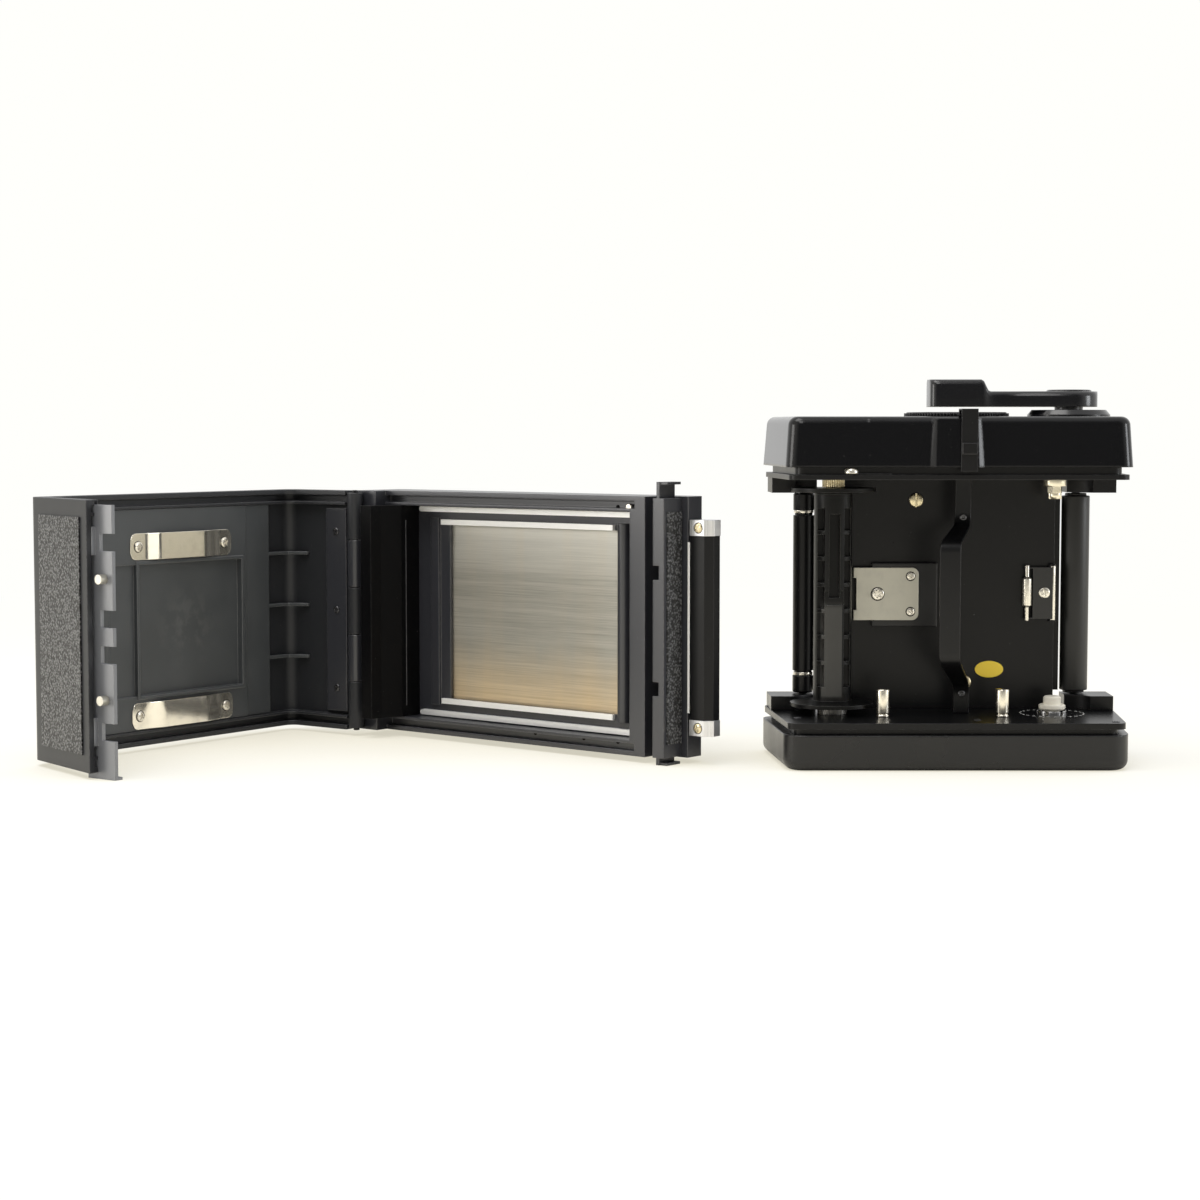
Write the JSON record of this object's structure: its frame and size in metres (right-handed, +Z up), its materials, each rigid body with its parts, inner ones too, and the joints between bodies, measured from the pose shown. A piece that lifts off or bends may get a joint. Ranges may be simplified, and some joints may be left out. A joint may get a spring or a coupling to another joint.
{
  "type": "roll film holder",
  "caption": "Roll-film holder for a medium-format camera, opened: hinged casing with film gate and dark slide, and a film insert with spools, rollers and winding lever.",
  "frame": {"origin": "centre of the underside of the film insert, on the surface it stands on", "axes": "+Z up, +X along the long side of the insert towards the winding lever, +Y from the open back of the insert towards its lens side"},
  "size_m": [0.3244, 0.1218, 0.114],
  "materials": {
    "black_metal": "satin black enamel",
    "liner_plastic": "fine grained dark grey moulding",
    "leatherette": "black pebbled covering",
    "slide_steel": "warm grey brushed steel",
    "bright_rail": "polished bare metal",
    "chrome": "bright chrome",
    "nickel": "polished nickel",
    "ivory": "ivory moulding",
    "brass": "pale brass",
    "felt": "black pile",
    "black_plastic": "black moulding",
    "black_screw": "blackened steel"
  },
  "bodies": {
    "holder": {"gate_frame": "black_metal", "film_rails": "bright_rail", "chamber_wall": "black_metal", "hinge_pin": "black_screw", "slide_slot_block": "black_metal", "light_trap_strips": "felt", "latch_end_plate": "black_metal", "frame_leatherette": "leatherette", "lens_plate": "black_metal", "lens_plate_screws": "chrome", "top_housing": "black_plastic", "top_plate": "black_metal", "base_plate": "black_metal", "base_housing": "black_plastic", "carrier_plate": "black_metal", "carrier_screws": "black_screw", "grip_strap": "black_metal", "lower_arms": "black_metal", "upper_arms": "black_metal", "take_up_peg": "chrome", "supply_seat": "chrome", "guide_posts": "nickel", "spring_pad": "black_plastic", "film_press": "nickel", "film_press_screws": "black_screw", "film_arm_hinge": "black_metal", "lever_disc": "black_metal", "band_bracket": "black_metal"},
    "cover": {"cover_shell": "black_metal", "cover_liner": "liner_plastic", "leaf_springs": "nickel", "leaf_spring_screws": "black_screw", "catch_plate": "black_metal", "catch_pins": "chrome", "hinge_strip": "black_metal", "hinge_strip_screws": "black_screw", "cover_leatherette": "leatherette", "back_leatherette": "leatherette", "memo_holder": "black_metal"},
    "slide": {"dark_slide": "slide_steel", "slide_handle": "black_metal", "handle_clips": "chrome", "handle_screws": "black_screw"},
    "latch": {"latch_bar": "black_metal"},
    "take_up": {"take_up_spool": "black_plastic", "take_up_gear": "chrome"},
    "idler_1": {"idler_gear_1": "brass"},
    "idler_2": {"idler_gear_2": "brass"},
    "idler_3": {"idler_gear_3": "brass"},
    "lever": {"wind_lever": "black_metal", "lever_gear": "chrome"},
    "dial": {"counter_dial": "black_metal"},
    "roller_left": {"left_roller": "black_metal"},
    "roller_right": {"right_roller": "black_metal"},
    "key": {"supply_key": "brass"},
    "peg": {"supply_peg": "ivory"},
    "arm": {"film_arm": "black_metal"},
    "pressure": {"pressure_plate": "black_metal", "pressure_springs": "nickel"},
    "clip": {"release_clip": "black_metal"}
  },
  "joints": [
    {"name": "cover_hinge", "type": "hinge", "parent": "holder", "child": "cover", "pos_m": [-0.1831, 0.0592, 0.0407], "axis": [0, 0, 1], "range_deg": [0, 86.2]},
    {"name": "slide_pull", "type": "slide", "parent": "holder", "child": "slide", "axis": [0.7705, -0.6374, 0], "range_m": [0, 0.095]},
    {"name": "latch_shift", "type": "slide", "parent": "holder", "child": "latch", "axis": [0, 0, 1], "range_m": [-0.0024, 0]},
    {"name": "wind_lever_turn", "type": "hinge", "parent": "holder", "child": "lever", "pos_m": [0.0358, 0.0015, 0.106], "axis": [0, 0, 1], "range_deg": [0, 150]},
    {"name": "idler_3_turn", "type": "hinge", "parent": "holder", "child": "idler_3", "pos_m": [0.0158, 0.0015, 0.0915], "axis": [0, 0, 1], "range_deg": [-280, 1]},
    {"name": "idler_2_turn", "type": "hinge", "parent": "holder", "child": "idler_2", "pos_m": [0.0008, 0.0015, 0.0915], "axis": [0, 0, 1], "range_deg": [-1, 245]},
    {"name": "idler_1_turn", "type": "hinge", "parent": "holder", "child": "idler_1", "pos_m": [-0.0142, 0.0015, 0.0915], "axis": [0, 0, 1], "range_deg": [-280, 1]},
    {"name": "take_up_turn", "type": "hinge", "parent": "holder", "child": "take_up", "pos_m": [-0.0342, 0.0015, 0.049], "axis": [0, 0, 1], "range_deg": [-1, 151]},
    {"name": "counter_dial_turn", "type": "hinge", "parent": "holder", "child": "dial", "pos_m": [0.0023, 0.0015, 0.1036], "axis": [0, 0, 1], "continuous": true},
    {"name": "left_roller_turn", "type": "hinge", "parent": "holder", "child": "roller_left", "pos_m": [-0.0416, 0.0186, 0.049], "axis": [0, 0, 1], "continuous": true},
    {"name": "right_roller_turn", "type": "hinge", "parent": "holder", "child": "roller_right", "pos_m": [0.0416, 0.0186, 0.049], "axis": [0, 0, 1], "continuous": true},
    {"name": "supply_key_turn", "type": "hinge", "parent": "holder", "child": "key", "pos_m": [0.032, 0.0015, 0.083], "axis": [0, 0, 1], "continuous": true},
    {"name": "supply_peg_push", "type": "slide", "parent": "holder", "child": "peg", "axis": [0, 0, -1], "range_m": [0, 0.0035], "stiffness_N_per_m": 200, "springref_m": -0.001},
    {"name": "film_arm_swing", "type": "hinge", "parent": "holder", "child": "arm", "pos_m": [0.0339, 0.0132, 0.0495], "axis": [0, 0, 1], "range_deg": [0, 40], "stiffness_Nm_per_rad": 0.01, "springref_deg": -5.73},
    {"name": "pressure_plate_push", "type": "slide", "parent": "holder", "child": "pressure", "axis": [0, -1, 0], "range_m": [0, 0.0012], "stiffness_N_per_m": 1500, "springref_m": -0.0008},
    {"name": "release_clip_flex", "type": "hinge", "parent": "holder", "child": "clip", "pos_m": [0.0022, -0.02665, 0.088], "axis": [1, 0, 0], "range_deg": [0, 4], "stiffness_Nm_per_rad": 0.4, "springref_deg": -2.86}
  ],
  "couplings": [
    {"joint": "idler_3_turn", "follows": "wind_lever_turn", "ratio": -1.8571},
    {"joint": "idler_2_turn", "follows": "wind_lever_turn", "ratio": 1.625},
    {"joint": "idler_1_turn", "follows": "wind_lever_turn", "ratio": -1.8571},
    {"joint": "take_up_turn", "follows": "wind_lever_turn", "ratio": 1}
  ]
}
